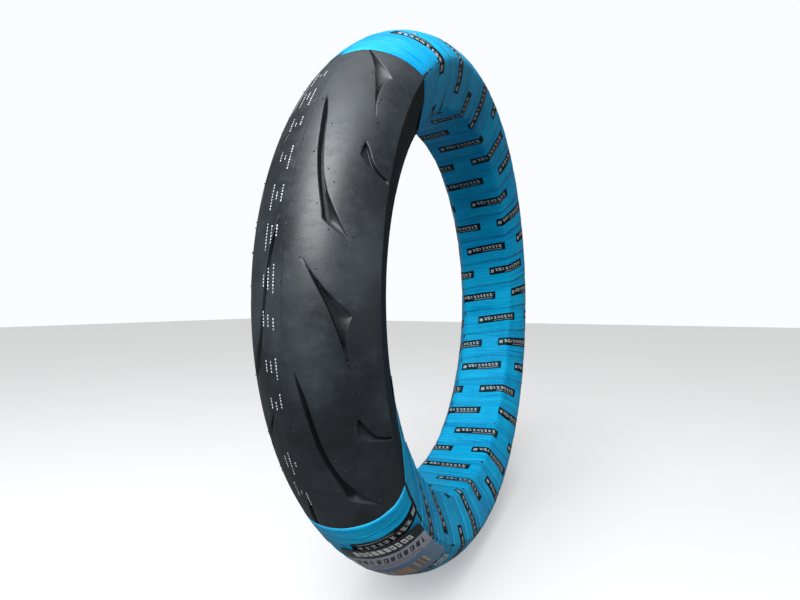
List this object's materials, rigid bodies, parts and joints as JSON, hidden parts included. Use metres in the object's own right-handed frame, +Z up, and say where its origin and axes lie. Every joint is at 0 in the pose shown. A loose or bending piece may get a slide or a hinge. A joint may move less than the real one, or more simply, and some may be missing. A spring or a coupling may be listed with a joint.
{
  "type": "motorcycle tyre",
  "caption": "Motorcycle tyre with a round grooved tread, layered carcass and wire beads, standing and three quarters wrapped in stretch film with a paper size label.",
  "frame": {"origin": "centre of the wheel, on the axle", "axes": "+Y along the axle, +Z up with the tyre standing, the bare near side of the tread towards -X"},
  "size_m": [0.5863, 0.111, 0.5867],
  "materials": {
    "tread": "satin",
    "sidewall": "satin",
    "casing": "matte",
    "cord": "matte",
    "liner": "satin",
    "wire": "brushed",
    "film": "gloss",
    "label": "satin",
    "sticker": "satin"
  },
  "bodies": {
    "root": {"tread_cap": "tread", "tread_base": "casing", "breaker_ply_outer": "cord", "breaker_ply_inner": "cord", "carcass_ply_outer": "cord", "carcass_ply_inner": "cord", "inner_liner": "liner", "sidewall_left": "sidewall", "rim_strip_left": "casing", "chafer_left": "cord", "bead_filler_left": "casing", "bead_insulation_left": "casing", "bead_wires_left": "wire", "sidewall_right": "sidewall", "rim_strip_right": "casing", "chafer_right": "cord", "bead_filler_right": "casing", "bead_insulation_right": "casing", "bead_wires_right": "wire", "wrap_film": "film", "size_label": "label", "barcode_sticker": "sticker"}
  },
  "joints": []
}
